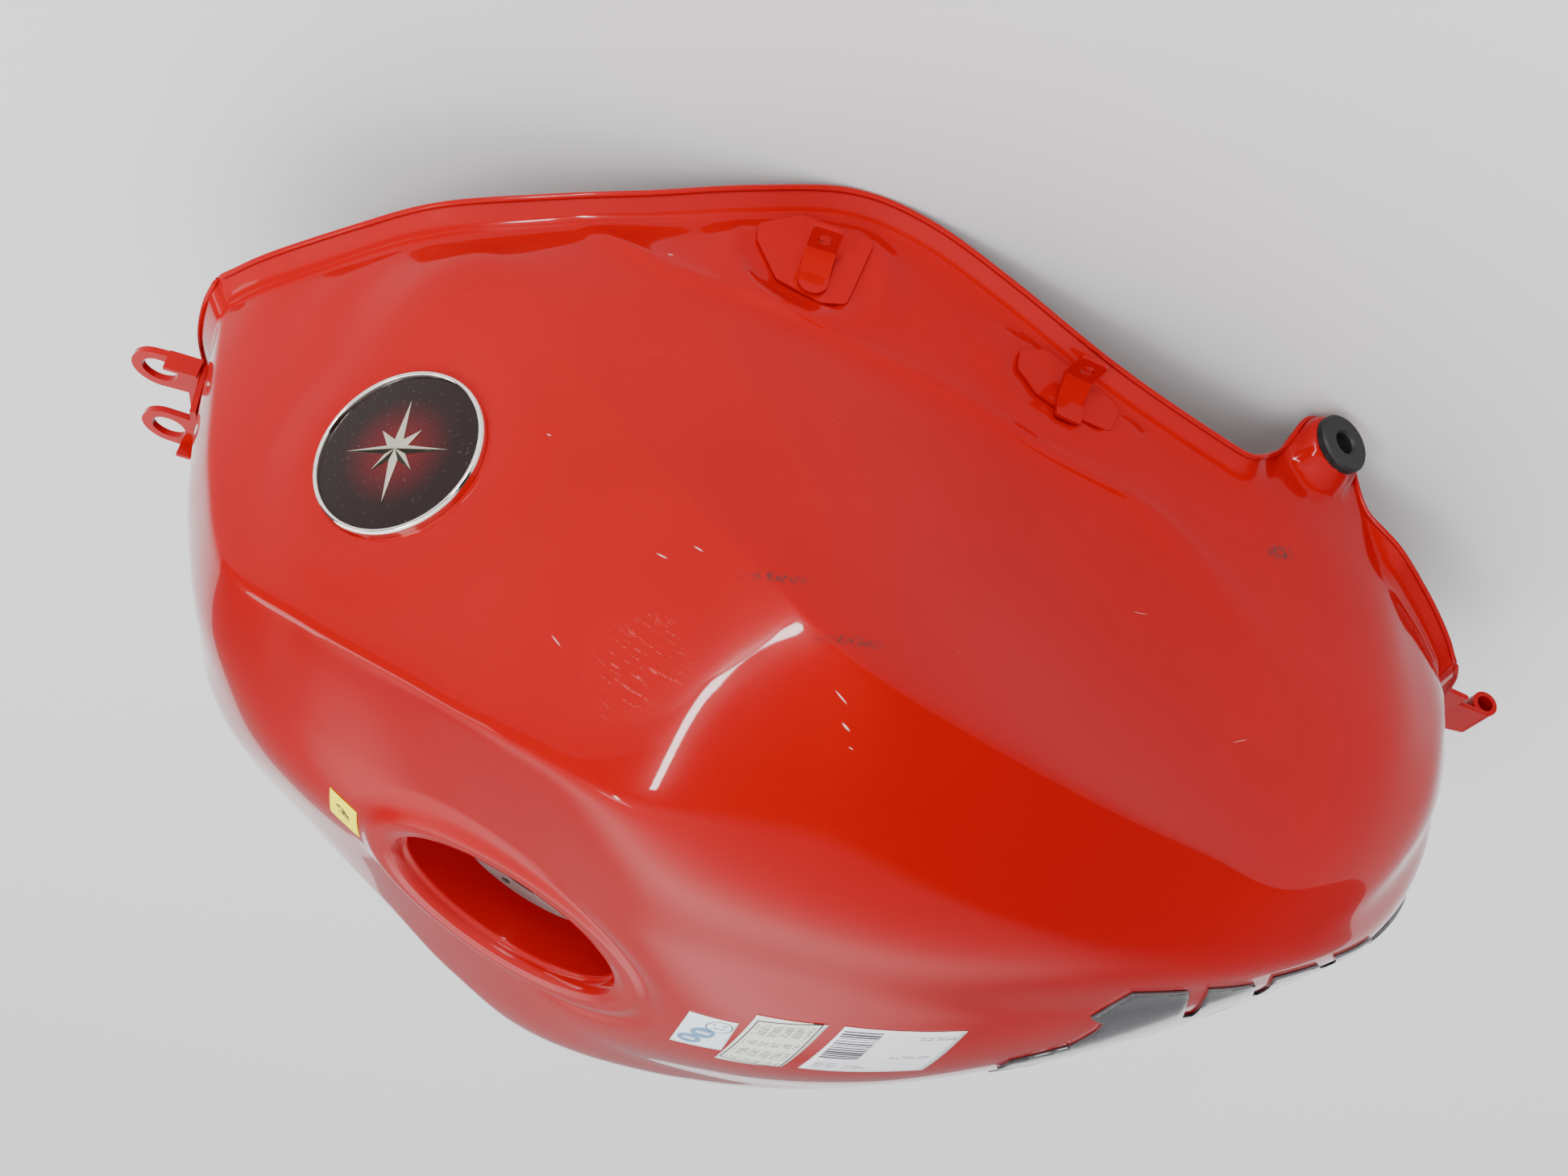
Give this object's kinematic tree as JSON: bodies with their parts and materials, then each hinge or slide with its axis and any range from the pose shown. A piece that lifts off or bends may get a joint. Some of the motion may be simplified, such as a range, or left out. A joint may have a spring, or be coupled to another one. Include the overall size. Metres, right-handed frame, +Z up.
{
  "type": "motorcycle fuel tank",
  "caption": "Painted steel motorcycle fuel tank with round emblems, recessed filler, mounting brackets, side tabs, tunnel underside and a fuel pump with a moving level float.",
  "frame": {"origin": "under the middle of the bounding box, on the plane that the seam flange and the grommet bosses touch", "axes": "+X to the front of the motorcycle, +Y to its left, +Z up"},
  "size_m": [0.654, 0.3682, 0.3119],
  "materials": {
    "red_paint": "gloss",
    "bare_steel": "satin",
    "black_rubber": "matte",
    "bright_ring": "polished",
    "emblem": "gloss",
    "pad_black": "gloss",
    "yellow_label": "satin",
    "white_label": "satin",
    "black_plastic": "matte",
    "filter_cloth": "matte"
  },
  "bodies": {
    "tank": {"outer_shell": "red_paint", "bottom_pan": "red_paint", "filler_cup": "red_paint", "filler_neck": "bare_steel", "drain_pipe": "red_paint", "breather_pipe": "red_paint", "baffle_plate": "bare_steel", "front_mount_bracket": "red_paint", "rear_mount_bracket": "red_paint", "patch_front_right": "red_paint", "patch_front_left": "red_paint", "patch_rear_right": "red_paint", "patch_rear_left": "red_paint", "tab_front_right": "red_paint", "tab_front_left": "red_paint", "tab_rear_right": "red_paint", "tab_rear_left": "red_paint", "grommet_boss_right": "red_paint", "grommet_boss_left": "red_paint", "grommet_right": "black_rubber", "grommet_left": "black_rubber", "emblem_bezel_right": "bright_ring", "emblem_bezel_left": "bright_ring", "emblem_dome_right": "emblem", "emblem_dome_left": "emblem", "tank_pad": "pad_black", "label_front": "yellow_label", "label_small": "white_label", "label_table": "white_label", "label_stripes": "white_label", "pump_mount_ring": "bare_steel", "pump_gasket": "black_rubber", "pump_flange": "black_plastic", "pump_nuts": "bare_steel", "pump_body": "bare_steel", "pump_holder": "black_plastic", "pump_strainer": "filter_cloth", "fuel_outlet": "black_plastic", "pump_connector": "black_plastic", "level_sender": "black_plastic"},
    "gauge_float": {"float_arm": "bare_steel", "float": "black_plastic"}
  },
  "joints": [
    {"name": "float_swing", "type": "hinge", "parent": "tank", "child": "gauge_float", "pos_m": [-0.156, -0.0315, 0.137], "axis": [0, 1, 0], "range_deg": [0, 55]}
  ]
}
